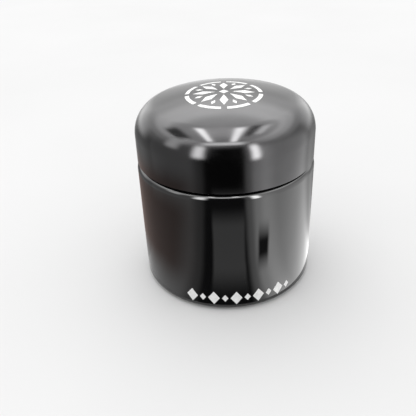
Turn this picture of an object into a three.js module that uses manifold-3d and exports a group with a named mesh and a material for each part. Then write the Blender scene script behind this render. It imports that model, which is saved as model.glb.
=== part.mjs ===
// Jar grinder: a round herb and spice grinder whose aluminium grinding head screws onto a glass storage jar.
// Millimetres, +Z up, origin at the centre of the jar's underside. Every round piece turns about the Z axis.
//
// From the bottom up: the glass jar, a silicone gasket on its mouth, a threaded collar that carries the lower
// grinding plate, a nylon slip ring, and a domed lid with the upper grinding plate inside it. Two magnets on the
// axis hold the lid down. The upper and lower teeth stand in rings of different radius, so they pass each other
// as the lid turns.
import * as THREE from "three";
import { mergeVertices } from "three/addons/utils/BufferGeometryUtils.js";
import Module from "manifold-3d";

const wasm = await Module();
wasm.setup();

// ---- driving dimensions ----

const ROUND = 48; // facets round a large turned piece
const SMALL_ROUND = 20; // facets round a magnet
const HOLE_ROUND = 10; // facets round a drilled hole or a screw
const QUARTER_STEPS = 4; // facets along a quarter-circle edge
const GAP = 0.1; // left between pieces that rest on each other
const THREE_QUARTERS = 1.5 * Math.PI; // the lowest point of a circle

// Glass jar.
const jar = {
  radius: 32,
  wall: 3.4,
  floor: 5,
  shoulderZ: 46.4,
  shoulderEdge: 2.2, // radius of the rounded shoulder
  footEdge: 2.4, // radius of the rounded foot
  puntRadius: 20, // shallow hollow under the base
  puntDepth: 0.8,
  innerFloorEdge: 4,
  innerShoulderEdge: 2,
  neckOuter: 25,
  neckInner: 21.9,
  neckTopZ: 52.6,
  lipEdge: 0.5,
};

// Screw thread between jar neck and collar: right-handed, one start.
const thread = {
  pitch: 3,
  rootWidth: 1.7,
  crestWidth: 0.7,
  neckCrest: 26,
  collarBore: 26.45,
  collarCrest: 25.3,
  startZ: 48.4, // height of the neck's ridge at angle 0
  turns: 1,
  collarLag: 0.4, // turns by which the collar's ridge starts later
  stepsPerTurn: 32,
  runOut: 3, // steps over which a ridge rises to full height
  bury: 0.5, // how far a ridge's root reaches into its wall
};

// Grinding head, from the gasket upwards.
const gasket = { inner: 22.2, outer: 24.9, thickness: 1 };
const collar = {
  bottomZ: 46.9,
  outer: 28.3,
  ledgeThickness: 1.2,
  ledgeInner: 22.2,
  bore: 25.9, // seat for the lower plate and wall of the grinding chamber
  rimOuter: 27.7,
  rimStartZ: 57,
  topZ: 60.9,
};
const lowerPlate = { radius: 25.6, thickness: 2, hubRadius: 5.2 };
const teeth = { height: 5.5, halfWidth: 1.15, halfLength: 2, tipShare: 0.7 };
const chamberClearance = 0.3; // between tooth tips and the facing plate
const upperPlate = { radius: 25.2, thickness: 2 };
const magnet = { radius: 4, fitGap: 0.3, lowerThickness: 2.8 };
const oRing = { section: 0.8, grooveDepth: 1.5, grooveWidth: 2 };
const slipRing = { outer: 28.6, legInner: 27.8, flangeInner: 25.9, legBottomZ: 57.2, flangeThickness: 0.9 };

// Domed lid.
const lid = {
  radius: 31.75,
  bottomZ: 47,
  skirtInner: 28.75,
  sideTopZ: 57, // where the straight side meets the big rounded edge
  edgeRadius: 10.5,
  edgeEnd: THREE.MathUtils.degToRad(74), // angle at which the edge meets the crown
  edgeSteps: 8,
  crownSteps: 4,
  bottomChamfer: 0.3,
  ledgeZ: 62, // rests on the slip ring
  pocketRadius: 25.5,
};

// Countersunk socket screws, four in each plate.
const screw = {
  count: 4,
  shank: 0.9,
  head: 1.8,
  headHeight: 1.1,
  socket: 0.95, // half of the hexagon's width across corners
  socketDepth: 0.7,
  fitGap: 0.25,
  flush: 0.1, // head top below the plate's face
  lowerRadius: 24,
  lowerLength: 3,
  upperRadius: 18.2,
  upperLength: 4,
};

// Rings of teeth and of drop holes: radius, count and angle of the first, as a share of the spacing.
const lowerTeeth = [
  { radius: 12.2, count: 8, phase: 0.5 },
  { radius: 18.2, count: 12, phase: 0 },
];
const upperTeeth = [
  { radius: 9.2, count: 4, phase: 0 },
  { radius: 15.2, count: 8, phase: 0.5 },
  { radius: 21.2, count: 12, phase: 0 },
];
const dropHoles = [
  { radius: 9.2, count: 8, phase: 0.5 },
  { radius: 15.2, count: 16, phase: 0.5 },
  { radius: 21.2, count: 20, phase: 0.5 },
];
const dropHoleRadius = 1.8;

// ---- heights that follow from the driving dimensions ----

const gasketZ = jar.neckTopZ + GAP;
const ledgeZ = gasketZ + gasket.thickness + GAP;
const lowerPlateZ = ledgeZ + collar.ledgeThickness + GAP;
const chamberFloorZ = lowerPlateZ + lowerPlate.thickness;
const upperPlateZ = chamberFloorZ + teeth.height + chamberClearance;
const lidCeilingZ = upperPlateZ + upperPlate.thickness + GAP;

// ---- materials ----

const blackAnodised = () => new THREE.MeshStandardMaterial({ color: 0x1b1c1f, roughness: 0.32, metalness: 0.6 });
const blackGlass = () => new THREE.MeshStandardMaterial({ color: 0x08090b, roughness: 0.05, metalness: 0 });
const silicone = () => new THREE.MeshStandardMaterial({ color: 0x2a2b2d, roughness: 0.7, metalness: 0 });
const whiteNylon = () => new THREE.MeshStandardMaterial({ color: 0xe6e5df, roughness: 0.5, metalness: 0 });
const nickel = () => new THREE.MeshStandardMaterial({ color: 0xc9c8c4, roughness: 0.2, metalness: 1 });
const steel = () => new THREE.MeshStandardMaterial({ color: 0x9a9b9e, roughness: 0.3, metalness: 1 });

// ---- geometry helpers ----

// Points [r, z] on an arc about (r0, z0), both ends included.
function arc(r0, z0, radius, from, to, steps) {
  return Array.from({ length: steps + 1 }, (_, i) => {
    const angle = from + ((to - from) * i) / steps;
    return [r0 + radius * Math.cos(angle), z0 + radius * Math.sin(angle)];
  });
}

// A solid of revolution about Z. The outline runs anticlockwise in (r, z), from axis to axis or round a loop.
function turned(outline, facets = ROUND) {
  const points = outline.map(([r, z]) => new THREE.Vector2(r, z));
  return new THREE.LatheGeometry(points, facets).rotateX(Math.PI / 2);
}

// The same for a ring, whose outline closes on itself.
const turnedRing = (outline, facets = ROUND) => turned([...outline, outline[0]], facets);

const disc = (radius, bottomZ, topZ, facets) =>
  turned([[0, bottomZ], [radius, bottomZ], [radius, topZ], [0, topZ]], facets);

// A closed mesh as a solid for joining and cutting.
function solid(geometry) {
  const bare = geometry.clone();
  bare.deleteAttribute("normal");
  bare.deleteAttribute("uv");
  const merged = mergeVertices(bare, 1e-4);
  return new wasm.Manifold(
    new wasm.Mesh({
      numProp: 3,
      vertProperties: merged.attributes.position.array,
      triVerts: new Uint32Array(merged.index.array),
    }),
  );
}

// A solid back as a mesh geometry.
function geometryOf(body) {
  const { vertProperties, triVerts } = body.getMesh();
  const geometry = new THREE.BufferGeometry();
  geometry.setAttribute("position", new THREE.BufferAttribute(vertProperties, 3));
  geometry.setIndex(new THREE.BufferAttribute(triVerts, 1));
  geometry.computeVertexNormals();
  return geometry;
}

const cut = (body, tools) => tools.reduce((left, tool) => left.subtract(solid(tool)), body);
const join = (body, pieces) => pieces.reduce((whole, piece) => whole.add(solid(piece)), body);

// Calls make(x, y, angle) for each place on a ring of equally spaced features.
function round({ radius, count, phase }, make) {
  return Array.from({ length: count }, (_, i) => {
    const angle = ((i + phase) * 2 * Math.PI) / count;
    return make(radius * Math.cos(angle), radius * Math.sin(angle), angle);
  });
}

const screwCircle = (radius, phase) => ({ radius, count: screw.count, phase });
const lowerScrewCircle = screwCircle(screw.lowerRadius, 0);
const upperScrewCircle = screwCircle(screw.upperRadius, 0.5);

// A helical ridge with tapered ends. Its root lies at rootRadius and its crest at crestRadius.
function helicalRidge(rootRadius, crestRadius, startZ, startTurn) {
  const steps = thread.turns * thread.stepsPerTurn;
  const positions = [];
  for (let i = 0; i <= steps; i++) {
    const turn = startTurn + i / thread.stepsPerTurn;
    const angle = turn * 2 * Math.PI;
    const z = startZ + turn * thread.pitch;
    const rise = Math.min(1, (Math.min(i, steps - i) + 0.5) / thread.runOut);
    const crest = rootRadius + (crestRadius - rootRadius) * rise;
    const section = [
      [rootRadius, z - thread.rootWidth / 2],
      [crest, z - thread.crestWidth / 2],
      [crest, z + thread.crestWidth / 2],
      [rootRadius, z + thread.rootWidth / 2],
    ];
    for (const [r, height] of section) {
      positions.push(r * Math.cos(angle), r * Math.sin(angle), height);
    }
  }
  const corners = 4;
  const faces = [];
  const quad = (a, b, c, d) => faces.push(a, b, c, a, c, d);
  for (let i = 0; i < steps; i++) {
    for (let k = 0; k < corners; k++) {
      const next = (k + 1) % corners;
      const here = i * corners;
      quad(here + k, here + corners + k, here + corners + next, here + next);
    }
  }
  const last = steps * corners;
  quad(0, 1, 2, 3);
  quad(last + 3, last + 2, last + 1, last);
  const inward = crestRadius < rootRadius;
  const geometry = new THREE.BufferGeometry();
  geometry.setAttribute("position", new THREE.Float32BufferAttribute(positions, 3));
  geometry.setIndex(inward ? faces.reverse() : faces);
  return geometry;
}

// A diamond-shaped tooth standing on the plane z = baseZ, pointing up or down, slightly narrower at its tip.
// Its long diagonal lies along its ring.
function tooth(x, y, angle, baseZ, direction) {
  const foot = 0.3; // sunk into the plate, so that the two join
  const length = teeth.height + foot;
  const geometry = new THREE.CylinderGeometry(teeth.tipShare, 1, length, 4, 1);
  geometry.scale(teeth.halfWidth, 1, teeth.halfLength);
  geometry.rotateX((direction * Math.PI) / 2);
  geometry.rotateZ(angle);
  geometry.translate(x, y, baseZ + direction * (length / 2 - foot));
  return geometry;
}

const drill = (x, y, radius, bottomZ, topZ) => disc(radius, bottomZ, topZ, HOLE_ROUND).translate(x, y, 0);

// The conical seat of a countersunk head and the clearance hole below it, opening towards +Z at faceZ.
function countersink(x, y, faceZ, direction) {
  const head = screw.head + screw.fitGap;
  const shank = screw.shank + screw.fitGap;
  const depth = screw.headHeight + screw.fitGap;
  const overrun = 0.5;
  const outline = [
    [0, -screw.upperLength],
    [shank, -screw.upperLength],
    [shank, -depth],
    [head, 0],
    [head, overrun],
    [0, overrun],
  ];
  return placedOnFace(turned(outline, HOLE_ROUND), x, y, faceZ, direction);
}

// A geometry made for a face that looks up at z = 0, put on the face at faceZ that looks up or down.
function placedOnFace(geometry, x, y, faceZ, direction) {
  if (direction < 0) geometry.rotateX(Math.PI);
  return geometry.translate(x, y, faceZ);
}

// A countersunk screw with a hexagon socket, its head just below the face at faceZ.
function countersunkScrew(x, y, faceZ, direction, length) {
  const top = -screw.flush;
  const body = solid(
    turned(
      [
        [0, -length],
        [screw.shank, -length],
        [screw.shank, top - screw.headHeight],
        [screw.head, top - 0.2],
        [screw.head, top],
        [0, top],
      ],
      HOLE_ROUND,
    ),
  );
  const socket = disc(screw.socket, top - screw.socketDepth, top + 1, 6);
  return placedOnFace(geometryOf(cut(body, [socket])), x, y, faceZ, direction);
}

// ---- pieces ----

const part = new THREE.Group();

function add(name, geometry, material) {
  const mesh = new THREE.Mesh(geometry, material);
  mesh.name = name;
  part.add(mesh);
}

function glassJar() {
  const inner = jar.radius - jar.wall;
  const underShoulderZ = jar.shoulderZ - jar.wall + 0.2;
  const mouthEdge = 1;
  const neckFillet = 0.6;
  const outline = [
    [0, jar.puntDepth],
    [jar.puntRadius, jar.puntDepth],
    [jar.puntRadius + 1, 0],
    ...arc(jar.radius - jar.footEdge, jar.footEdge, jar.footEdge, THREE_QUARTERS, 2 * Math.PI, QUARTER_STEPS),
    ...arc(jar.radius - jar.shoulderEdge, jar.shoulderZ - jar.shoulderEdge, jar.shoulderEdge, 0, Math.PI / 2,
      QUARTER_STEPS),
    [jar.neckOuter + neckFillet, jar.shoulderZ],
    [jar.neckOuter, jar.shoulderZ + neckFillet],
    [jar.neckOuter, jar.neckTopZ - jar.lipEdge],
    [jar.neckOuter - jar.lipEdge, jar.neckTopZ],
    [jar.neckInner + jar.lipEdge, jar.neckTopZ],
    [jar.neckInner, jar.neckTopZ - jar.lipEdge],
    [jar.neckInner, underShoulderZ + mouthEdge],
    [jar.neckInner + mouthEdge, underShoulderZ],
    ...arc(inner - jar.innerShoulderEdge, underShoulderZ - jar.innerShoulderEdge, jar.innerShoulderEdge,
      Math.PI / 2, 0, 2),
    ...arc(inner - jar.innerFloorEdge, jar.floor + jar.innerFloorEdge, jar.innerFloorEdge, 0, -Math.PI / 2,
      QUARTER_STEPS - 1),
    [0, jar.floor],
  ];
  const ridge = helicalRidge(jar.neckOuter - thread.bury, thread.neckCrest, thread.startZ, 0);
  return geometryOf(join(solid(turned(outline)), [ridge]));
}

function flatGasket() {
  const topZ = gasketZ + gasket.thickness;
  return turnedRing([
    [gasket.inner, gasketZ],
    [gasket.outer, gasketZ],
    [gasket.outer, topZ],
    [gasket.inner, topZ],
  ]);
}

function jarCollar() {
  const seatZ = ledgeZ + collar.ledgeThickness;
  const grooveZ = seatZ;
  const grooveInner = collar.outer - oRing.grooveDepth;
  const taper = collar.outer - collar.rimOuter;
  const outline = [
    [thread.collarBore, collar.bottomZ],
    [collar.outer, collar.bottomZ],
    [collar.outer, grooveZ - oRing.grooveWidth / 2],
    [grooveInner, grooveZ - oRing.grooveWidth / 2],
    [grooveInner, grooveZ + oRing.grooveWidth / 2],
    [collar.outer, grooveZ + oRing.grooveWidth / 2],
    [collar.outer, collar.rimStartZ - taper],
    [collar.rimOuter, collar.rimStartZ],
    [collar.rimOuter, collar.topZ],
    [collar.bore, collar.topZ],
    [collar.bore, seatZ],
    [collar.ledgeInner, seatZ],
    [collar.ledgeInner, ledgeZ],
    [thread.collarBore, ledgeZ],
  ];
  const lagZ = thread.startZ - thread.pitch / 2;
  const ridge = helicalRidge(thread.collarBore + thread.bury, thread.collarCrest, lagZ, thread.collarLag);
  const holeRadius = screw.shank + screw.fitGap;
  const holes = round(lowerScrewCircle, (x, y) => drill(x, y, holeRadius, ledgeZ - 1, seatZ + 1));
  return geometryOf(cut(join(solid(turnedRing(outline)), [ridge]), holes));
}

// A ring of round section that fills the collar's groove and closes the gap to the lid's skirt.
function lidSealRing() {
  const centre = lid.skirtInner - GAP - oRing.section;
  const outline = arc(centre, ledgeZ + collar.ledgeThickness, oRing.section, 0, 2 * Math.PI, 6);
  outline.pop();
  return turnedRing(outline);
}

function lowerGrindingPlate() {
  const hubTopZ = chamberFloorZ + teeth.height;
  const recess = magnet.radius + magnet.fitGap;
  const recessZ = hubTopZ - magnet.lowerThickness - 2 * GAP;
  const outline = [
    [0, lowerPlateZ],
    [lowerPlate.radius, lowerPlateZ],
    [lowerPlate.radius, chamberFloorZ],
    [lowerPlate.hubRadius, chamberFloorZ],
    [lowerPlate.hubRadius, hubTopZ],
    [recess, hubTopZ],
    [recess, recessZ],
    [0, recessZ],
  ];
  const grown = lowerTeeth.flatMap((ring) => round(ring, (x, y, angle) => tooth(x, y, angle, chamberFloorZ, 1)));
  const holes = dropHoles.flatMap((ring) =>
    round(ring, (x, y) => drill(x, y, dropHoleRadius, lowerPlateZ - 1, chamberFloorZ + 1)),
  );
  const sinks = round(lowerScrewCircle, (x, y) => countersink(x, y, chamberFloorZ, 1));
  return geometryOf(cut(join(solid(turned(outline)), grown), [...holes, ...sinks]));
}

function baseMagnet() {
  const topZ = chamberFloorZ + teeth.height - GAP;
  return disc(magnet.radius, topZ - magnet.lowerThickness, topZ, SMALL_ROUND);
}

function frictionRing() {
  const bottomZ = collar.topZ + GAP;
  const topZ = bottomZ + slipRing.flangeThickness;
  return turnedRing([
    [slipRing.legInner, slipRing.legBottomZ],
    [slipRing.outer, slipRing.legBottomZ],
    [slipRing.outer, topZ],
    [slipRing.flangeInner, topZ],
    [slipRing.flangeInner, bottomZ],
    [slipRing.legInner, bottomZ],
  ]);
}

function lidShell() {
  const edgeCentre = lid.radius - lid.edgeRadius;
  const junctionR = edgeCentre + lid.edgeRadius * Math.cos(lid.edgeEnd);
  const junctionZ = lid.sideTopZ + lid.edgeRadius * Math.sin(lid.edgeEnd);
  const crownRadius = junctionR / Math.cos(lid.edgeEnd);
  const crownCentreZ = junctionZ - crownRadius * Math.sin(lid.edgeEnd);
  const crown = arc(0, crownCentreZ, crownRadius, lid.edgeEnd, Math.PI / 2, lid.crownSteps);
  const outline = [
    [0, lidCeilingZ],
    [lid.pocketRadius, lidCeilingZ],
    [lid.pocketRadius, lid.ledgeZ],
    [lid.skirtInner, lid.ledgeZ],
    [lid.skirtInner, lid.bottomZ],
    [lid.radius - lid.bottomChamfer, lid.bottomZ],
    [lid.radius, lid.bottomZ + lid.bottomChamfer],
    ...arc(edgeCentre, lid.sideTopZ, lid.edgeRadius, 0, lid.edgeEnd, lid.edgeSteps),
    ...crown.slice(1, -1),
    [0, crownCentreZ + crownRadius],
  ];
  const holeTopZ = upperPlateZ + screw.upperLength + 0.4;
  const holeRadius = screw.shank + screw.fitGap;
  const holes = round(upperScrewCircle, (x, y) => drill(x, y, holeRadius, lidCeilingZ - 1, holeTopZ));
  return geometryOf(cut(solid(turned(outline)), holes));
}

function upperGrindingPlate() {
  const topZ = upperPlateZ + upperPlate.thickness;
  const hole = magnet.radius + magnet.fitGap;
  const outline = [
    [hole, upperPlateZ],
    [upperPlate.radius, upperPlateZ],
    [upperPlate.radius, topZ],
    [hole, topZ],
  ];
  const grown = upperTeeth.flatMap((ring) => round(ring, (x, y, angle) => tooth(x, y, angle, upperPlateZ, -1)));
  const sinks = round(upperScrewCircle, (x, y) => countersink(x, y, upperPlateZ, -1));
  return geometryOf(cut(join(solid(turnedRing(outline)), grown), sinks));
}

function lidMagnet() {
  const bottomZ = upperPlateZ + GAP;
  return disc(magnet.radius, bottomZ, upperPlateZ + upperPlate.thickness, SMALL_ROUND);
}

add("glass_jar", glassJar(), blackGlass());
add("jar_gasket", flatGasket(), silicone());
add("jar_collar", jarCollar(), blackAnodised());
add("lid_seal_ring", lidSealRing(), silicone());
add("lower_grinding_plate", lowerGrindingPlate(), blackAnodised());
add("base_magnet", baseMagnet(), nickel());
add("slip_ring", frictionRing(), whiteNylon());
add("lid_shell", lidShell(), blackAnodised());
add("upper_grinding_plate", upperGrindingPlate(), blackAnodised());
add("lid_magnet", lidMagnet(), nickel());

round(lowerScrewCircle, (x, y) => countersunkScrew(x, y, chamberFloorZ, 1, screw.lowerLength)).forEach(
  (geometry, i) => add(`lower_plate_screw_${i + 1}`, geometry, steel()),
);
round(upperScrewCircle, (x, y) => countersunkScrew(x, y, upperPlateZ, -1, screw.upperLength)).forEach(
  (geometry, i) => add(`upper_plate_screw_${i + 1}`, geometry, steel()),
);

export default part;
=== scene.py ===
"""A jar grinder: a domed black aluminium lid and grinding head on a black glass storage jar.

The visible pieces are built again at a finer grain than the CAD solids, with the same outlines.
Lengths are millimetres unless a comment says metres, and are scaled where a mesh or object is made.
"""

import math

import bmesh
import bpy
from mathutils import Matrix, Vector

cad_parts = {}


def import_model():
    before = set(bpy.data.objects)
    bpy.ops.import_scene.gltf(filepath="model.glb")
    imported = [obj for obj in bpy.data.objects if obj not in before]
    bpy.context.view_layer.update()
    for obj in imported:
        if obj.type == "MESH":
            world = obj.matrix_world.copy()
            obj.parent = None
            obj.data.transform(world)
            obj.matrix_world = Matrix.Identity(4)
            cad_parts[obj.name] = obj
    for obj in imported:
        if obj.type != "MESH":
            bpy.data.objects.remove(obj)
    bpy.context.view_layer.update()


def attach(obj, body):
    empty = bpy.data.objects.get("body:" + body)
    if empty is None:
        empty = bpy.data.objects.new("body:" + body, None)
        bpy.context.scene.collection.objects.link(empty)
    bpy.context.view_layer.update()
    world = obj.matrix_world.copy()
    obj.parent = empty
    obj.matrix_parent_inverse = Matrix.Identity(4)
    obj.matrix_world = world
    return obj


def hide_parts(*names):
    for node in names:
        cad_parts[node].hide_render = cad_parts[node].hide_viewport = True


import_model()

MM = 0.001

# ---------------------------------------------------------------- camera

CAMERA_PLACE = Vector((0, -177.0, 128.1)) * MM
CAMERA_TARGET = Vector((-7.15, 0, 23.64)) * MM
CAMERA_ROLL = math.radians(-2.53)
CAMERA_LENS = 46.0


def make_camera():
    data = bpy.data.cameras.new("camera")
    data.lens = CAMERA_LENS
    data.sensor_width = 36.0
    data.clip_start = 0.01
    data.clip_end = 50.0
    camera = bpy.data.objects.new("camera", data)
    bpy.context.scene.collection.objects.link(camera)
    facing = (CAMERA_TARGET - CAMERA_PLACE).to_track_quat("-Z", "Y").to_matrix().to_4x4()
    camera.matrix_world = Matrix.Translation(CAMERA_PLACE) @ facing @ Matrix.Rotation(CAMERA_ROLL, 4, "Z")
    bpy.context.scene.camera = camera


make_camera()

# ---------------------------------------------------------------- dimensions

# Facets round a large turned piece, a magnet, a reflection and a screw or hole.
ROUND = 192
MAGNET_ROUND = 64
CARD_ROUND = 96
SCREW_ROUND = 32
FILLET_STEPS = 3
EASE = 0.12  # default rounding of a machined corner

JAR_RADIUS = 32.0
JAR_WALL = 3.4
JAR_MOUTH = 21.9
JAR_NECK = 25.0
JAR_NECK_TOP = 52.6
JAR_SHOULDER = 46.4
JAR_FOOT_FILLET = 2.4
JAR_SHOULDER_FILLET = 2.2
JAR_BASE_HOLLOW = 0.8
JAR_FLOOR = 5
LID_RADIUS = 31.75
LID_BOTTOM = 47.0
LID_SIDE_TOP = 57.0
LID_EDGE = 10.5
LID_EDGE_END = math.radians(74)
SKIRT_INNER = 28.75
THREAD_PITCH = 3.0
THREAD_START = 48.4
GASKET_INNER = 22.2
GASKET_OUTER = 24.9
GASKET_BOTTOM = 52.7
GASKET_TOP = 53.7
COLLAR_BORE = 26.45
COLLAR_OUTER = 28.3
GROOVE_DEPTH = 1.5
GROOVE_HALF = 1.0
RIM_OUTER = 27.7
RIM_INNER = 25.9
SEAL_CENTRE = 27.85
SEAL_HALF = 0.8
LEDGE_BOTTOM = 53.8
SEAT = 55.0
LOWER_PLATE_BOTTOM = 55.1
CHAMBER_FLOOR = 57.1
COLLAR_TOP = 60.9
HUB_OUTER = 5.2
POCKET_RADIUS = 4.3
POCKET_FLOOR = 59.6
TOOTH_HEIGHT = 5.5
LOWER_PLATE_RADIUS = 25.6
UPPER_PLATE_RADIUS = 25.2
# Rings of teeth: radius, count, phase. Rings of drop holes: radius, count.
LOWER_TEETH = ((12.2, 8, 0.5), (18.2, 12, 0))
UPPER_TEETH = ((9.2, 4, 0), (15.2, 8, 0.5), (21.2, 12, 0))
DROP_HOLES = ((9.2, 8), (15.2, 16), (21.2, 20))
DROP_HOLE_RADIUS = 1.8
UPPER_PLATE_BOTTOM = 62.9
UPPER_PLATE_TOP = 64.9
MAGNET_RADIUS = 4.0
LID_CEILING = 65.0
LOWER_SCREW_CIRCLE = 24.0
UPPER_SCREW_CIRCLE = 18.2
SCREWS_A_PLATE = 4
SCREW_HOLE = 1.15

# ---------------------------------------------------------------- mesh helpers


def arc(r0, z0, radius, start, end, steps):
    """Points (r, z) on an arc about (r0, z0), angles in degrees, both ends included."""
    angles = [math.radians(start + (end - start) * i / steps) for i in range(steps + 1)]
    return [(r0 + radius * math.cos(a), z0 + radius * math.sin(a)) for a in angles]


def eased(outline, closed):
    """The outline with each marked corner (r, z, fillet) turned into a small arc."""
    result = []
    count = len(outline)
    for i, point in enumerate(outline):
        here = Vector(point[:2])
        fillet = point[2] if len(point) > 2 else 0
        at_end = not closed and i in (0, count - 1)
        if not fillet or at_end:
            result.append(tuple(here))
            continue
        before = Vector(outline[i - 1][:2]) - here
        after = Vector(outline[(i + 1) % count][:2]) - here
        reach = min(before.length, after.length) * 0.45
        half = before.angle(after) / 2
        length = min(fillet / math.tan(half), reach)
        start = here + before.normalized() * length
        end = here + after.normalized() * length
        for k in range(FILLET_STEPS + 1):
            t = k / FILLET_STEPS
            result.append(tuple(start * (1 - t) ** 2 + here * 2 * t * (1 - t) + end * t**2))
    return result


def corners(points, fillet=EASE):
    """Every point marked as a corner to ease."""
    return [(r, z, fillet) for r, z in points]


def turned(outline, closed=False, facets=ROUND):
    """A bmesh solid of revolution about Z. The outline goes from axis to axis, or closes on itself."""
    bm = bmesh.new()
    rings = []
    for r, z in eased(outline, closed):
        if r < 1e-6:
            rings.append([bm.verts.new((0, 0, z))])
            continue
        angles = [2 * math.pi * k / facets for k in range(facets)]
        rings.append([bm.verts.new((r * math.cos(a), r * math.sin(a), z)) for a in angles])
    pairs = list(zip(rings, rings[1:]))
    if closed:
        pairs.append((rings[-1], rings[0]))
    for low, high in pairs:
        for k in range(facets):
            n = (k + 1) % facets
            if len(low) == 1:
                bm.faces.new((low[0], high[n], high[k]))
            elif len(high) == 1:
                bm.faces.new((low[k], low[n], high[0]))
            else:
                bm.faces.new((low[k], low[n], high[n], high[k]))
    bmesh.ops.recalc_face_normals(bm, faces=bm.faces)
    return bm


def make_object(name, bm, smooth_angle=32):
    """A mesh object in metres from a bmesh in millimetres."""
    bmesh.ops.scale(bm, vec=(MM, MM, MM), verts=bm.verts)
    mesh = bpy.data.meshes.new(name)
    bm.to_mesh(mesh)
    bm.free()
    mesh.polygons.foreach_set("use_smooth", [True] * len(mesh.polygons))
    mesh.set_sharp_from_angle(angle=math.radians(smooth_angle))
    obj = bpy.data.objects.new(name, mesh)
    bpy.context.scene.collection.objects.link(obj)
    return obj


def combined(base, tool, operation):
    """base with tool joined or cut away. Both are bmeshes in millimetres, and so is the result."""
    objects = []
    for bm in (base, tool):
        mesh = bpy.data.meshes.new("operand")
        bm.to_mesh(mesh)
        bm.free()
        obj = bpy.data.objects.new("operand", mesh)
        bpy.context.scene.collection.objects.link(obj)
        objects.append(obj)
    modifier = objects[0].modifiers.new("combine", "BOOLEAN")
    modifier.operation = operation
    modifier.solver = "EXACT"
    modifier.object = objects[1]
    bpy.context.view_layer.update()
    evaluated = objects[0].evaluated_get(bpy.context.evaluated_depsgraph_get())
    result = bmesh.new()
    result.from_mesh(evaluated.to_mesh())
    evaluated.to_mesh_clear()
    for obj in objects:
        mesh = obj.data
        bpy.data.objects.remove(obj)
        bpy.data.meshes.remove(mesh)
    return result


def gathered(solids):
    """Several bmeshes as one."""
    whole = bmesh.new()
    for bm in solids:
        mesh = bpy.data.meshes.new("gathered")
        bm.to_mesh(mesh)
        bm.free()
        whole.from_mesh(mesh)
        bpy.data.meshes.remove(mesh)
    return whole


def around(radius, count, phase=0.0):
    """Centres and angles of equally spaced features on a circle."""
    for i in range(count):
        angle = (i + phase) * 2 * math.pi / count
        yield radius * math.cos(angle), radius * math.sin(angle), angle


def cylinder(x, y, radius, bottom, top, facets=SCREW_ROUND):
    bm = turned([(0, bottom), (radius, bottom), (radius, top), (0, top)], facets=facets)
    bmesh.ops.translate(bm, vec=(x, y, 0), verts=bm.verts)
    return bm


def helical_ridge(root_radius, crest_radius, start_z, start_turn):
    """A thread ridge of one turn with tapered ends, its edges eased."""
    steps = 96
    run_out = 10
    root_half, crest_half, ease = 0.85, 0.35, 0.12
    bm = bmesh.new()
    sections = []
    for i in range(steps + 1):
        turn = start_turn + i / steps
        z = start_z + turn * THREAD_PITCH
        rise = min(1.0, (min(i, steps - i) + 0.5) / run_out)
        crest = root_radius + (crest_radius - root_radius) * rise
        below_crest = root_radius + (crest - root_radius) * 0.85
        profile = [
            (root_radius, z - root_half),
            (below_crest, z - crest_half - ease),
            (crest, z - crest_half + ease),
            (crest, z + crest_half - ease),
            (below_crest, z + crest_half + ease),
            (root_radius, z + root_half),
        ]
        a = turn * 2 * math.pi
        sections.append([bm.verts.new((r * math.cos(a), r * math.sin(a), h)) for r, h in profile])
    for near, far in zip(sections, sections[1:]):
        for k in range(len(near)):
            n = (k + 1) % len(near)
            bm.faces.new((near[k], far[k], far[n], near[n]))
    bm.faces.new(sections[0])
    bm.faces.new(sections[-1])
    bmesh.ops.recalc_face_normals(bm, faces=bm.faces)
    return bm


def tooth(x, y, angle, base_z, direction):
    """A diamond tooth with eased edges, pointing up or down from the plane z = base_z."""
    foot, half_width, half_length, tip = 0.3, 1.15, 2.0, 0.7
    bm = bmesh.new()
    low, high = base_z - direction * foot, base_z + direction * TOOTH_HEIGHT
    across = Vector((math.cos(angle), math.sin(angle), 0))
    along = Vector((-math.sin(angle), math.cos(angle), 0))
    loops = []
    for z, share in ((low, 1.0), (high, tip)):
        centre = Vector((x, y, z))
        reach = (across * half_width * share, along * half_length * share)
        loops.append([bm.verts.new(centre + v) for v in (reach[0], reach[1], -reach[0], -reach[1])])
    for k in range(4):
        n = (k + 1) % 4
        bm.faces.new((loops[0][k], loops[0][n], loops[1][n], loops[1][k]))
    bm.faces.new(loops[0])
    bm.faces.new(loops[1])
    bmesh.ops.recalc_face_normals(bm, faces=bm.faces)
    off_foot = [e for e in bm.edges if any(abs(v.co.z - low) > 0.1 for v in e.verts)]
    bmesh.ops.bevel(bm, geom=off_foot, offset=0.1, segments=2, profile=0.5, affect="EDGES")
    return bm


# ---------------------------------------------------------------- materials


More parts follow.
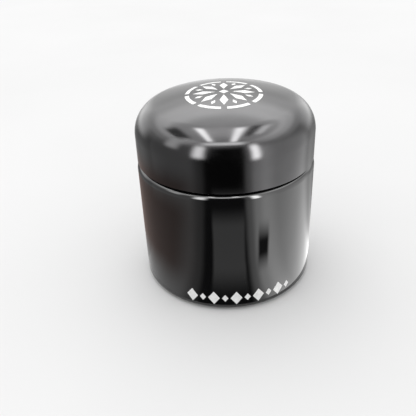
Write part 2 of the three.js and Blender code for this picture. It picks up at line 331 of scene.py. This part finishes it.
class Shader:
    """A Principled material with helpers for the procedural parts."""

    def __init__(self, name, colour, roughness, metallic=0.0):
        self.material = bpy.data.materials.new(name)
        self.material.use_nodes = True
        self.nodes = self.material.node_tree.nodes
        self.links = self.material.node_tree.links
        self.surface = self.nodes["Principled BSDF"]
        self.surface.inputs["Base Color"].default_value = (*colour, 1)
        self.surface.inputs["Roughness"].default_value = roughness
        self.surface.inputs["Metallic"].default_value = metallic
        self.place = self.nodes.new("ShaderNodeTexCoord").outputs["Object"]
        self.height = None

    def noise(self, scale, detail=4.0, stretch=(1, 1, 1)):
        mapping = self.nodes.new("ShaderNodeMapping")
        mapping.inputs["Scale"].default_value = stretch
        self.links.new(self.place, mapping.inputs["Vector"])
        texture = self.nodes.new("ShaderNodeTexNoise")
        texture.inputs["Scale"].default_value = scale
        texture.inputs["Detail"].default_value = detail
        self.links.new(mapping.outputs["Vector"], texture.inputs["Vector"])
        return texture.outputs["Fac"]

    def rings(self, scale):
        """Turning marks: rings about Z."""
        texture = self.nodes.new("ShaderNodeTexWave")
        texture.wave_type = "RINGS"
        texture.rings_direction = "Z"
        texture.inputs["Scale"].default_value = scale
        texture.inputs["Distortion"].default_value = 0.4
        texture.inputs["Detail"].default_value = 3.0
        self.links.new(self.place, texture.inputs["Vector"])
        return texture.outputs["Fac"]

    def spread(self, value, low, high):
        """The middle range of a texture, where nearly all its values lie, mapped to low to high."""
        ramp = self.nodes.new("ShaderNodeMapRange")
        ramp.inputs["From Min"].default_value = 0.35
        ramp.inputs["From Max"].default_value = 0.65
        ramp.inputs["To Min"].default_value = low
        ramp.inputs["To Max"].default_value = high
        self.links.new(value, ramp.inputs["Value"])
        return ramp.outputs["Result"]

    def rough(self, value, low, high):
        self.links.new(self.spread(value, low, high), self.surface.inputs["Roughness"])

    def tint(self, value, dark, light):
        mix = self.nodes.new("ShaderNodeMix")
        mix.data_type = "RGBA"
        mix.inputs["A"].default_value = (*dark, 1)
        mix.inputs["B"].default_value = (*light, 1)
        self.links.new(self.spread(value, 0, 1), mix.inputs["Factor"])
        self.links.new(mix.outputs["Result"], self.surface.inputs["Base Color"])

    def bump(self, value, depth):
        """Adds relief of that depth in millimetres on top of any before it."""
        node = self.nodes.new("ShaderNodeBump")
        node.inputs["Strength"].default_value = 1.0
        node.inputs["Distance"].default_value = depth * MM
        self.links.new(value, node.inputs["Height"])
        if self.height:
            self.links.new(self.height, node.inputs["Normal"])
        self.height = node.outputs["Normal"]
        self.links.new(self.height, self.surface.inputs["Normal"])


def black_glass():
    s = Shader("black_glass", (0.0022, 0.0022, 0.0025), 0.05)
    s.surface.inputs["IOR"].default_value = 1.6
    s.rough(s.noise(90, 5), 0.03, 0.075)
    s.bump(s.noise(60, 2, (1, 1, 0.6)), 0.16)
    s.bump(s.noise(260, 2, (1, 1, 0.12)), 0.012)
    s.bump(s.noise(2600, 2), 0.0006)
    return s.material


def lid_anodising():
    s = Shader("lid_anodising", (0.055, 0.055, 0.056), 0.18, 1.0)
    s.tint(s.noise(60, 4), (0.051, 0.0505, 0.0515), (0.059, 0.0585, 0.0595))
    s.rough(s.noise(140, 6), 0.115, 0.165)
    s.bump(s.noise(5200, 3), 0.0012)
    return s.material


def machined_anodising():
    s = Shader("machined_anodising", (0.06, 0.061, 0.065), 0.3, 0.8)
    s.tint(s.noise(900, 4), (0.057, 0.058, 0.062), (0.064, 0.065, 0.069))
    s.rough(s.noise(1400, 6), 0.26, 0.33)
    s.bump(s.rings(900), 0.003)
    s.bump(s.noise(4200, 3), 0.001)
    return s.material


def silicone():
    s = Shader("silicone", (0.03, 0.03, 0.032), 0.7)
    s.tint(s.noise(400, 5), (0.024, 0.024, 0.026), (0.045, 0.045, 0.048))
    s.rough(s.noise(700, 5), 0.6, 0.8)
    s.bump(s.noise(2500, 4), 0.01)
    return s.material


def white_nylon():
    s = Shader("white_nylon", (0.83, 0.82, 0.78), 0.42)
    s.surface.inputs["Subsurface Weight"].default_value = 0.15
    s.surface.inputs["Subsurface Radius"].default_value = (0.002, 0.0018, 0.0015)
    s.tint(s.noise(200, 4), (0.8, 0.79, 0.74), (0.86, 0.85, 0.82))
    s.rough(s.noise(500, 5), 0.36, 0.5)
    s.bump(s.rings(600), 0.002)
    return s.material


def magnet_nickel():
    s = Shader("magnet_nickel", (0.72, 0.69, 0.64), 0.16, 1.0)
    s.tint(s.noise(350, 4), (0.66, 0.63, 0.58), (0.76, 0.74, 0.7))
    s.rough(s.noise(900, 6), 0.12, 0.2)
    s.bump(s.noise(3000, 4), 0.0006)
    return s.material


def screw_steel():
    s = Shader("screw_steel", (0.5, 0.51, 0.53), 0.28, 1.0)
    s.tint(s.noise(900, 4), (0.42, 0.43, 0.45), (0.58, 0.58, 0.6))
    s.rough(s.noise(1500, 6), 0.22, 0.38)
    s.bump(s.noise(5000, 3), 0.002)
    return s.material


def white_print():
    s = Shader("white_print", (0.82, 0.82, 0.81), 0.4)
    s.tint(s.noise(900, 5), (0.76, 0.76, 0.755), (0.86, 0.86, 0.855))
    s.rough(s.noise(1600, 4), 0.34, 0.48)
    s.bump(s.noise(6000, 3), 0.0015)
    return s.material


def pale_floor():
    s = Shader("pale_floor", (0.79, 0.79, 0.79), 0.6)
    s.surface.inputs["Specular IOR Level"].default_value = 0.0
    s.tint(s.noise(6, 3), (0.78, 0.78, 0.78), (0.8, 0.8, 0.8))
    return s.material


MATERIALS = {
    "glass": black_glass(),
    "lid": lid_anodising(),
    "machined": machined_anodising(),
    "silicone": silicone(),
    "nylon": white_nylon(),
    "nickel": magnet_nickel(),
    "steel": screw_steel(),
    "print": white_print(),
}


def finish_piece(obj, body, material, slot, *nodes):
    """Gives a piece its material and its body, and hides the CAD nodes it stands for. slot is not used."""
    obj.data.materials.append(MATERIALS[material])
    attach(obj, body)
    if nodes:
        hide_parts(*nodes)


# ---------------------------------------------------------------- jar


def glass_jar():
    inner = JAR_RADIUS - JAR_WALL
    under_shoulder = 43.2
    foot, shoulder = JAR_FOOT_FILLET, JAR_SHOULDER_FILLET
    outline = [
        (0, JAR_BASE_HOLLOW),
        (18, JAR_BASE_HOLLOW),
        (20, 0.7, 0.8),
        (21.5, 0, 0.6),
        *arc(JAR_RADIUS - foot, foot, foot, -90, 0, 12),
        *arc(JAR_RADIUS - shoulder, JAR_SHOULDER - shoulder, shoulder, 0, 90, 12),
        (JAR_NECK, JAR_SHOULDER, 0.6),
        (JAR_NECK, JAR_NECK_TOP, 0.5),
        (JAR_MOUTH, JAR_NECK_TOP, 0.5),
        (JAR_MOUTH, under_shoulder, 1.0),
        *arc(inner - 2, under_shoulder - 2, 2, 90, 0, 8),
        *arc(inner - 4, JAR_FLOOR + 4, 4, 0, -90, 10),
        (0, JAR_FLOOR),
    ]
    ridge = helical_ridge(JAR_NECK - 0.5, JAR_NECK + 1.0, THREAD_START, 0)
    jar = make_object("jar_glass", combined(turned(outline), ridge, "UNION"))
    finish_piece(jar, "jar", "glass", "black_glass", "glass_jar")


def gasket():
    section = [
        (GASKET_INNER, GASKET_BOTTOM),
        (GASKET_OUTER, GASKET_BOTTOM),
        (GASKET_OUTER, GASKET_TOP),
        (GASKET_INNER, GASKET_TOP),
    ]
    piece = make_object("gasket_ring", turned(corners(section, 0.2), closed=True))
    finish_piece(piece, "gasket", "silicone", "silicone", "jar_gasket")


# ---------------------------------------------------------------- grinding head


def collar():
    collar_bottom = 46.9
    outline = corners(
        [
            (COLLAR_BORE, collar_bottom),
            (COLLAR_OUTER, collar_bottom),
            (COLLAR_OUTER, SEAT - GROOVE_HALF),
            (COLLAR_OUTER - GROOVE_DEPTH, SEAT - GROOVE_HALF),
            (COLLAR_OUTER - GROOVE_DEPTH, SEAT + GROOVE_HALF),
            (COLLAR_OUTER, SEAT + GROOVE_HALF),
            (COLLAR_OUTER, 56.4),
            (RIM_OUTER, 57.0),
            (RIM_OUTER, COLLAR_TOP),
            (RIM_INNER, COLLAR_TOP),
            (RIM_INNER, SEAT),
            (GASKET_INNER, SEAT),
            (GASKET_INNER, LEDGE_BOTTOM),
            (COLLAR_BORE, LEDGE_BOTTOM),
        ]
    )
    # Half a pitch off the jar's ridge, so that the two lie between each other.
    ridge = helical_ridge(COLLAR_BORE + 0.5, 25.3, THREAD_START - THREAD_PITCH / 2, 0.4)
    piece = make_object("collar_ring", combined(turned(outline, closed=True), ridge, "UNION"))
    finish_piece(piece, "grinder_base", "machined", "anodised_inner", "jar_collar")


def seal_ring():
    outline = arc(SEAL_CENTRE, SEAT, SEAL_HALF, 0, 330, 11)
    piece = make_object("seal_ring", turned(outline, closed=True), smooth_angle=60)
    finish_piece(piece, "grinder_base", "silicone", "silicone", "lid_seal_ring")


def countersinks(radius, phase, face_z, direction):
    """Conical screw seats that open up (direction 1) or down (-1) at face_z."""
    mouth, depth, deep, over = 2.05, 1.35, 4, 0.5
    outline = [
        (0, -deep),
        (SCREW_HOLE, -deep),
        (SCREW_HOLE, -depth),
        (mouth, 0),
        (mouth, over),
        (0, over),
    ]
    for x, y, _ in around(radius, SCREWS_A_PLATE, phase):
        seat = turned(outline, facets=SCREW_ROUND)
        if direction < 0:
            bmesh.ops.rotate(seat, cent=(0, 0, 0), matrix=Matrix.Rotation(math.pi, 3, "X"), verts=seat.verts)
        bmesh.ops.translate(seat, vec=(x, y, face_z), verts=seat.verts)
        yield seat


def lower_plate():
    hub_top = CHAMBER_FLOOR + TOOTH_HEIGHT
    outline = [
        (0, LOWER_PLATE_BOTTOM),
        (LOWER_PLATE_RADIUS, LOWER_PLATE_BOTTOM, 0.2),
        (LOWER_PLATE_RADIUS, CHAMBER_FLOOR, 0.2),
        (HUB_OUTER, CHAMBER_FLOOR, 0.5),
        (HUB_OUTER, hub_top, 0.3),
        (POCKET_RADIUS, hub_top, EASE),
        (POCKET_RADIUS, POCKET_FLOOR, EASE),
        (0, POCKET_FLOOR),
    ]
    teeth = [
        tooth(x, y, a, CHAMBER_FLOOR, 1)
        for radius, count, phase in LOWER_TEETH
        for x, y, a in around(radius, count, phase)
    ]
    holes = [
        cylinder(x, y, DROP_HOLE_RADIUS, LOWER_PLATE_BOTTOM - 1, CHAMBER_FLOOR + 1)
        for radius, count in DROP_HOLES
        for x, y, _ in around(radius, count, 0.5)
    ]
    holes += countersinks(LOWER_SCREW_CIRCLE, 0, CHAMBER_FLOOR, 1)
    solid = combined(turned(outline), gathered(holes), "DIFFERENCE")
    piece = make_object("lower_plate", combined(solid, gathered(teeth), "UNION"))
    finish_piece(piece, "grinder_base", "machined", "anodised_inner", "lower_grinding_plate")


def upper_plate():
    outline = [
        (POCKET_RADIUS, UPPER_PLATE_BOTTOM, EASE),
        (UPPER_PLATE_RADIUS, UPPER_PLATE_BOTTOM, 0.2),
        (UPPER_PLATE_RADIUS, UPPER_PLATE_TOP, 0.2),
        (POCKET_RADIUS, UPPER_PLATE_TOP, EASE),
    ]
    teeth = [
        tooth(x, y, a, UPPER_PLATE_BOTTOM, -1)
        for radius, count, phase in UPPER_TEETH
        for x, y, a in around(radius, count, phase)
    ]
    seats = list(countersinks(UPPER_SCREW_CIRCLE, 0.5, UPPER_PLATE_BOTTOM, -1))
    solid = combined(turned(outline, closed=True), gathered(seats), "DIFFERENCE")
    piece = make_object("upper_plate", combined(solid, gathered(teeth), "UNION"))
    finish_piece(piece, "lid", "machined", "anodised_inner", "upper_grinding_plate")


def magnet(name, body, node, bottom, top):
    outline = [(0, bottom), (MAGNET_RADIUS, bottom, 0.25), (MAGNET_RADIUS, top, 0.25), (0, top)]
    piece = make_object(name, turned(outline, facets=MAGNET_ROUND))
    finish_piece(piece, body, "nickel", "magnet_nickel", node)


def slip_ring():
    """An angle section: a flange on the collar's rim and a leg down its outside."""
    leg_inner, leg_outer, leg_bottom = 27.8, 28.6, 57.2
    flange_bottom, flange_top = COLLAR_TOP + 0.1, 61.9
    section = [
        (leg_inner, leg_bottom),
        (leg_outer, leg_bottom),
        (leg_outer, flange_top),
        (RIM_INNER, flange_top),
        (RIM_INNER, flange_bottom),
        (leg_inner, flange_bottom),
    ]
    piece = make_object("slip_ring_nylon", turned(corners(section), closed=True))
    finish_piece(piece, "lid_bearing", "nylon", "nylon", "slip_ring")


def countersunk_screw(name, body, node, x, y, face_z, direction, length):
    """A socket screw whose head lies just below the face at face_z; direction 1 has the head on top."""
    shank, head, head_top, socket_radius, socket_floor = 0.9, 1.8, -0.1, 0.95, -0.8
    outline = [
        (0, -length),
        (0.75, -length),
        (shank, -length + 0.2),
        (shank, -1.2),
        (1.75, -0.3),
        (head, -0.2),
        (1.72, head_top),
        (0, head_top),
    ]
    socket = cylinder(0, 0, socket_radius, socket_floor, 0.5, facets=6)
    bm = combined(turned(outline, facets=SCREW_ROUND), socket, "DIFFERENCE")
    if direction < 0:
        bmesh.ops.rotate(bm, cent=(0, 0, 0), matrix=Matrix.Rotation(math.pi, 3, "X"), verts=bm.verts)
    bmesh.ops.translate(bm, vec=(x, y, face_z), verts=bm.verts)
    finish_piece(make_object(name, bm), body, "steel", "screw_steel", node)


def screws():
    for i, (x, y, _) in enumerate(around(LOWER_SCREW_CIRCLE, SCREWS_A_PLATE, 0), 1):
        node = f"lower_plate_screw_{i}"
        countersunk_screw(f"lower_screw_{i}", "grinder_base", node, x, y, CHAMBER_FLOOR, 1, 3)
    for i, (x, y, _) in enumerate(around(UPPER_SCREW_CIRCLE, SCREWS_A_PLATE, 0.5), 1):
        node = f"upper_plate_screw_{i}"
        countersunk_screw(f"upper_screw_{i}", "lid", node, x, y, UPPER_PLATE_BOTTOM, -1, 4)


# ---------------------------------------------------------------- lid

EDGE_CENTRE = LID_RADIUS - LID_EDGE
JUNCTION_R = EDGE_CENTRE + LID_EDGE * math.cos(LID_EDGE_END)
JUNCTION_Z = LID_SIDE_TOP + LID_EDGE * math.sin(LID_EDGE_END)
CROWN_RADIUS = JUNCTION_R / math.cos(LID_EDGE_END)
CROWN_CENTRE = JUNCTION_Z - CROWN_RADIUS * math.sin(LID_EDGE_END)


def crown_height(r):
    return CROWN_CENTRE + math.sqrt(CROWN_RADIUS**2 - r**2)


def lid_shell():
    edge_end = math.degrees(LID_EDGE_END)
    crown = arc(0, CROWN_CENTRE, CROWN_RADIUS, edge_end, 90, 14)[1:-1]
    recess, ledge = 25.5, 62.0
    outline = [
        (0, LID_CEILING),
        (recess, LID_CEILING, 0.3),
        (recess, ledge, 0.2),
        (SKIRT_INNER, ledge, 0.2),
        (SKIRT_INNER, LID_BOTTOM, 0.2),
        (LID_RADIUS, LID_BOTTOM, 0.35),
        *arc(EDGE_CENTRE, LID_SIDE_TOP, LID_EDGE, 0, edge_end, 28),
        *crown,
        (0, CROWN_CENTRE + CROWN_RADIUS),
    ]
    places = around(UPPER_SCREW_CIRCLE, SCREWS_A_PLATE, 0.5)
    holes = [cylinder(x, y, SCREW_HOLE, LID_CEILING - 1.0, LID_CEILING + 2.3) for x, y, _ in places]
    piece = make_object("lid_dome", combined(turned(outline), gathered(holes), "DIFFERENCE"), smooth_angle=40)
    finish_piece(piece, "lid", "lid", "anodised_lid", "lid_shell")


# ---------------------------------------------------------------- printed marks


def printed_patch(bm, surface, corners_uv, steps=6):
    """A thin closed patch whose four corners go round it in (u, v). surface(u, v, lift) gives a point."""
    lift, sink = 0.03, -0.06
    a, b, c, d = (Vector(p) for p in corners_uv)
    layers = []
    for height in (lift, sink):
        grid = []
        for i in range(steps + 1):
            left, right = a.lerp(d, i / steps), b.lerp(c, i / steps)
            places = [left.lerp(right, j / steps) for j in range(steps + 1)]
            grid.append([bm.verts.new(surface(*place, height)) for place in places])
        layers.append(grid)
    top, under = layers
    for i in range(steps):
        for j in range(steps):
            bm.faces.new((top[i][j], top[i][j + 1], top[i + 1][j + 1], top[i + 1][j]))
            bm.faces.new((under[i][j], under[i + 1][j], under[i + 1][j + 1], under[i][j + 1]))
    last = steps
    rim = [(0, j) for j in range(last)] + [(i, last) for i in range(last)]
    rim += [(last, j) for j in range(last, 0, -1)] + [(i, 0) for i in range(last, 0, -1)]
    for (i, j), (p, q) in zip(rim, rim[1:] + rim[:1]):
        bm.faces.new((top[i][j], under[i][j], under[p][q], top[p][q]))


ROSETTE_CENTRE = Vector((0, -2.0))


def on_lid(u, v, lift):
    return Vector((u, v, crown_height(math.hypot(u, v)) + lift))


def on_lid_ring(angle, radius, lift):
    """angle and radius are about the rosette's centre."""
    return on_lid(
        ROSETTE_CENTRE.x + radius * math.cos(angle), ROSETTE_CENTRE.y + radius * math.sin(angle), lift
    )


def on_jar(u, v, lift):
    """u is the length round the jar from the front, v the height."""
    angle = u / JAR_RADIUS - math.pi / 2
    radius = JAR_RADIUS + lift
    return Vector((radius * math.cos(angle), radius * math.sin(angle), v))


def lid_rosette():
    """A plain geometric ornament: a ring of slim lozenges round a small one, inside a broken circle."""
    bm = bmesh.new()
    petals = 16
    for k in range(petals):
        angle = 2 * math.pi * k / petals
        inner, outer, half = (2.9, 10.6, 1.45) if k % 2 == 0 else (7.6, 10.6, 0.75)
        out = Vector((math.cos(angle), math.sin(angle)))
        side = Vector((-out.y, out.x)) * half
        broad = out * (inner + (outer - inner) * 0.55)
        points = (out * inner, broad - side, out * outer, broad + side)
        printed_patch(bm, on_lid, [ROSETTE_CENTRE + point for point in points])
    middle = 1.7
    points = ((middle, 0), (0, middle), (-middle, 0), (0, -middle))
    printed_patch(bm, on_lid, [ROSETTE_CENTRE + Vector(point) for point in points])
    dashes, near, far, share = 8, 11.9, 13.3, 0.4
    for k in range(dashes):
        ends = [2 * math.pi * (k + 0.5 + offset) / dashes for offset in (-share, share)]
        points = ((ends[0], near), (ends[0], far), (ends[1], far), (ends[1], near))
        printed_patch(bm, on_lid_ring, points, 10)
    bmesh.ops.recalc_face_normals(bm, faces=bm.faces)
    piece = make_object("lid_rosette", bm)
    finish_piece(piece, "lid", "print", "anodised_lid")


def jar_lozenges():
    """A row of plain lozenges and dots low on the jar."""
    bm = bmesh.new()
    first, last, count, z = -13.2, 22.8, 10, 5.4
    for k in range(count):
        u = first + (last - first) * k / (count - 1)
        half_u, half_v = (2.1, 2.8) if k % 2 == 0 else (1.15, 1.5)
        printed_patch(bm, on_jar, ((u - half_u, z), (u, z - half_v), (u + half_u, z), (u, z + half_v)))
    bmesh.ops.recalc_face_normals(bm, faces=bm.faces)
    piece = make_object("jar_lozenges", bm)
    finish_piece(piece, "jar", "print", "black_glass")


glass_jar()
gasket()
collar()
seal_ring()
lower_plate()
magnet("magnet_in_base", "grinder_base", "base_magnet", POCKET_FLOOR + 0.1, 62.5)
slip_ring()
lid_shell()
upper_plate()
magnet("magnet_in_lid", "lid", "lid_magnet", 63.0, UPPER_PLATE_TOP)
screws()
lid_rosette()
jar_lozenges()

# ---------------------------------------------------------------- floor and light

# Azimuths go round from the front (-Y), positive towards +X; elevations are above the horizon.
# Both are in degrees. Radiance that the polished sides mirror, by azimuth.
WALL_RADIANCE = (
    (-165, 0.9),
    (-130, 0.28),
    (-105, 0.5),
    (-75, 0.65),
    (-40, 0.7),
    (-27, 0.3),
    (-20, 0.03),
    (17, 0.03),
    (24, 0.9),
    (32, 2.1),
    (42, 2.7),
    (58, 2.0),
    (95, 2.1),
    (112, 0.9),
    (135, 0.35),
    (165, 0.15),
)
# Radiance that the lid's top mirrors, by elevation, and the share of it that is left, by y in metres.
SKY_RADIANCE = ((0, 0.9), (18, 1.2), (28, 2.1), (38, 4.0), (46, 4.9), (52, 3.4), (60, 3.2), (90, 4.2))
SKY_SHARE = ((-0.4, 0.28), (-0.3, 0.3), (-0.24, 0.5), (-0.17, 0.8), (-0.1, 0.9), (0.0, 1.0), (0.05, 1.0))
SKY_RADIUS = 0.4  # metres
BRIGHTEST = 7.0  # the radiance that a ramp's white stands for
WALL_PROFILE = [(34, 0.4), (60, 2), (95, 12), (120, 40), (130, 90), (130, 200)]
CARD_MIDDLE_Z = 55
STRIP_Z = 166.0
FLOOR_HALF = 3000
FLOOR_DROP = 0.0002  # metres below the jar's foot
# Profiles (r, z) of the low cards that the jar mirrors.
LOW_FRONT = [(35, 0.6), (46, 1.8), (57, 3), (60, 6), (60, 11), (60, 16), (60, 22), (60, 29)]
LOW_DARK = [(47, 1), (48, 8), (48, 14), (48, 20), (48, 28)]
LOW_LEFT = [(34, 0.6), (42, 1.5), (50, 2.6), (60, 4.5), (70, 7), (80, 10), (90, 14), (100, 21)]
WARM = (1.0, 0.78, 0.72)


def floor():
    bm = bmesh.new()
    bmesh.ops.create_grid(bm, x_segments=8, y_segments=8, size=FLOOR_HALF)
    obj = make_object("floor", bm)
    obj.location.z = -FLOOR_DROP
    obj.data.materials.append(pale_floor())


def mirrored_only(obj):
    """A reflection card: seen in polished surfaces, and lighting nothing else."""
    obj.visible_camera = False
    obj.visible_diffuse = False
    obj.visible_shadow = False
    obj.visible_transmission = False
    obj.visible_volume_scatter = False


class Glow:
    """A material that glows by a procedural amount and is clear where its cover is 0."""

    def __init__(self, name):
        self.material = bpy.data.materials.new(name)
        self.material.use_nodes = True
        self.nodes = self.material.node_tree.nodes
        self.links = self.material.node_tree.links
        self.nodes.clear()
        self.emission = self.nodes.new("ShaderNodeEmission")
        self.mix = self.nodes.new("ShaderNodeMixShader")
        self.mix.inputs["Fac"].default_value = 1.0
        output = self.nodes.new("ShaderNodeOutputMaterial")
        clear = self.nodes.new("ShaderNodeBsdfTransparent")
        self.links.new(clear.outputs[0], self.mix.inputs[1])
        self.links.new(self.emission.outputs[0], self.mix.inputs[2])
        self.links.new(self.mix.outputs[0], output.inputs["Surface"])
        self.coordinates = self.nodes.new("ShaderNodeTexCoord")

    def ramp(self, value, stops, scale):
        """A grey from (position, amount) stops along value, as a share of scale."""
        node = self.nodes.new("ShaderNodeValToRGB")
        node.color_ramp.interpolation = "EASE"
        elements = node.color_ramp.elements
        while len(elements) < len(stops):
            elements.new(0.5)
        for element, (position, amount) in zip(elements, sorted(stops)):
            element.position = position
            grey = amount / scale
            element.color = (grey, grey, grey, 1)
        self.links.new(value, node.inputs["Fac"])
        return node.outputs["Color"]

    def shine(self, colour):
        self.links.new(colour, self.emission.inputs["Color"])
        self.emission.inputs["Strength"].default_value = BRIGHTEST

    def math(self, operation, a, b):
        node = self.nodes.new("ShaderNodeMath")
        node.operation = operation
        for socket, value in zip(node.inputs, (a, b)):
            if isinstance(value, (int, float)):
                socket.default_value = value
            else:
                self.links.new(value, socket)
        return node.outputs[0]

    def fade(self, value, full, gone):
        """1 at full, 0 at gone, smooth between."""
        node = self.nodes.new("ShaderNodeMapRange")
        node.interpolation_type = "SMOOTHSTEP"
        node.inputs["From Min"].default_value = full
        node.inputs["From Max"].default_value = gone
        node.inputs["To Min"].default_value = 1.0
        node.inputs["To Max"].default_value = 0.0
        self.links.new(value, node.inputs["Value"])
        return node.outputs["Result"]

    def axes(self, output):
        node = self.nodes.new("ShaderNodeSeparateXYZ")
        self.links.new(self.coordinates.outputs[output], node.inputs[0])
        return node.outputs


def reflection_wall():
    """A bowl round the object from the floor up, for its upright sides to mirror."""
    glow = Glow("wall_glow")
    gradient = glow.nodes.new("ShaderNodeTexGradient")
    gradient.gradient_type = "RADIAL"
    glow.links.new(glow.coordinates.outputs["Object"], gradient.inputs["Vector"])
    stops = [(((azimuth + 90) % 360) / 360, radiance) for azimuth, radiance in WALL_RADIANCE]
    glow.shine(glow.ramp(gradient.outputs["Fac"], stops, BRIGHTEST))
    _, y, z = glow.axes("Object")
    # The wall fades out upwards, lower at the back than in front; full and gone are in metres.
    slope, full, gone = 0.4, 0.06, 0.11
    height = glow.math("ADD", z, glow.math("MULTIPLY", y, slope))
    glow.links.new(glow.fade(height, full, gone), glow.mix.inputs["Fac"])
    bm = turned(WALL_PROFILE, facets=CARD_ROUND)
    obj = make_object("reflection_wall", bm)
    obj.data.materials.append(glow.material)
    mirrored_only(obj)


def reflection_sky():
    """A dome overhead, brighter at the back, for the lid's top to mirror."""
    glow = Glow("sky_glow")
    _, y, z = glow.axes("Object")
    rise = glow.math("DIVIDE", z, SKY_RADIUS)
    by_height = [(math.sin(math.radians(elevation)), radiance) for elevation, radiance in SKY_RADIANCE]
    by_place = [((position / SKY_RADIUS + 1) / 2, share) for position, share in SKY_SHARE]
    along = glow.math("DIVIDE", glow.math("ADD", y, SKY_RADIUS), 2 * SKY_RADIUS)
    shine = glow.math("MULTIPLY", glow.ramp(rise, by_height, BRIGHTEST), glow.ramp(along, by_place, 1.0))
    glow.shine(shine)
    obj = make_object("reflection_sky", turned(arc(0, 0, SKY_RADIUS / MM, 0, 90, 24), facets=CARD_ROUND))
    obj.location.z = LID_SIDE_TOP * MM
    obj.data.materials.append(glow.material)
    mirrored_only(obj)


def glowing_sheet(name, rows, radiance, soft_sides, soft_ends, tint=(1, 1, 1)):
    """A reflection card through rows of points.

    Each softness is the share of the card's half width or half length over which it fades.
    """
    bm = bmesh.new()
    uv = bm.loops.layers.uv.new("uv")
    last_row, last_column = len(rows) - 1, len(rows[0]) - 1
    grid = [
        [(bm.verts.new(point), (j / last_column, i / last_row)) for j, point in enumerate(row)]
        for i, row in enumerate(rows)
    ]
    for i in range(last_row):
        for j in range(last_column):
            quad = (grid[i][j], grid[i][j + 1], grid[i + 1][j + 1], grid[i + 1][j])
            face = bm.faces.new([vertex for vertex, _ in quad])
            for loop, (_, place) in zip(face.loops, quad):
                loop[uv].uv = place
    glow = Glow(name + "_glow")
    glow.emission.inputs["Color"].default_value = (*tint, 1)
    glow.emission.inputs["Strength"].default_value = radiance
    u, v, _ = glow.axes("UV")
    fades = []
    for place, softness in ((u, soft_sides), (v, soft_ends)):
        off_middle = glow.math("ABSOLUTE", glow.math("SUBTRACT", place, 0.5), 0)
        fades.append(glow.fade(off_middle, 0.5 * (1 - softness), 0.5))
    glow.links.new(glow.math("MULTIPLY", *fades), glow.mix.inputs["Fac"])
    obj = make_object(name, bm)
    obj.data.materials.append(glow.material)
    mirrored_only(obj)


def reflection_card(name, azimuths, profile, *finish):
    """A card between two azimuths along a profile of (r, z) points."""
    columns = 6
    rows = []
    for r, z in profile:
        steps = [azimuths[0] + (azimuths[1] - azimuths[0]) * j / columns - 90 for j in range(columns + 1)]
        rows.append([(r * math.cos(math.radians(a)), r * math.sin(math.radians(a)), z) for a in steps])
    glowing_sheet(name, rows, *finish)


def overhead_strip(name, x, y, *finish):
    """A level strip over the lid, between two x and two y."""
    rows = [[(across, along, STRIP_Z) for across in x] for along in y]
    glowing_sheet(name, rows, *finish)


def soft_sun(strength):
    """An even, very soft light from above and behind. Polished surfaces don't mirror it."""
    light = bpy.data.lights.new("soft_sun", "SUN")
    light.energy = strength
    light.angle = math.radians(70)
    obj = bpy.data.objects.new("soft_sun", light)
    bpy.context.scene.collection.objects.link(obj)
    obj.rotation_euler = (math.radians(-25), math.radians(-12), 0)
    obj.visible_glossy = False


def world(strength):
    scene_world = bpy.data.worlds.new("studio")
    scene_world.use_nodes = True
    background = scene_world.node_tree.nodes["Background"]
    background.inputs["Color"].default_value = (1, 1, 1, 1)
    background.inputs["Strength"].default_value = strength
    bpy.context.scene.world = scene_world


bpy.context.scene.view_settings.view_transform = "Standard"
floor()
world(0.95)
reflection_wall()
reflection_sky()
# Each card: azimuths, profile, radiance, softness of the sides and of the ends.
reflection_card("window_left", (-38, -18), arc(0, CARD_MIDDLE_Z, 112, -6, 38, 20), 12, 0.9, 0.6)
reflection_card("window_right", (24, 39), arc(0, CARD_MIDDLE_Z, 112, -14, 38, 20), 17, 0.9, 0.6)
reflection_card("side_left", (-155, -95), arc(0, CARD_MIDDLE_Z, 117, -5, 34, 12), 2.2, 0.6, 0.7)
reflection_card("side_right", (100, 155), arc(0, CARD_MIDDLE_Z, 117, -5, 34, 12), 2.2, 0.6, 0.7)
reflection_card("far_left", (-74, -48), arc(0, CARD_MIDDLE_Z, 114, 8, 44, 12), 4.2, 0.8, 0.6)
# Each strip: x, y, radiance, softness of the sides and of the ends.
overhead_strip("strip_left", (-45, -24), (-104, 26), 16, 0.8, 0.4)
overhead_strip("strip_right", (9, 32), (-114, 26), 15, 0.8, 0.4)
overhead_strip("cross_bar", (-84, 74), (-142, -90), 9, 0.5, 0.9)
overhead_strip("strip_far_right", (50, 76), (-50, 30), 7, 0.8, 0.5)
overhead_strip("gap_left", (-135, -62), (-75, 40), 0.5, 0.6, 0.6)
overhead_strip("gap_right", (31, 54), (-70, 40), 0.5, 0.5, 0.6)
reflection_card("low_front", (-15, 18), LOW_FRONT, 0.52, 0.2, 0.5)
reflection_card("low_dark", (25, 38), LOW_DARK, 0.06, 0.5, 0.8)
reflection_card("low_left", (-165, -19), LOW_LEFT, 0.32, 0.55, 0.6, WARM)
soft_sun(0.9)
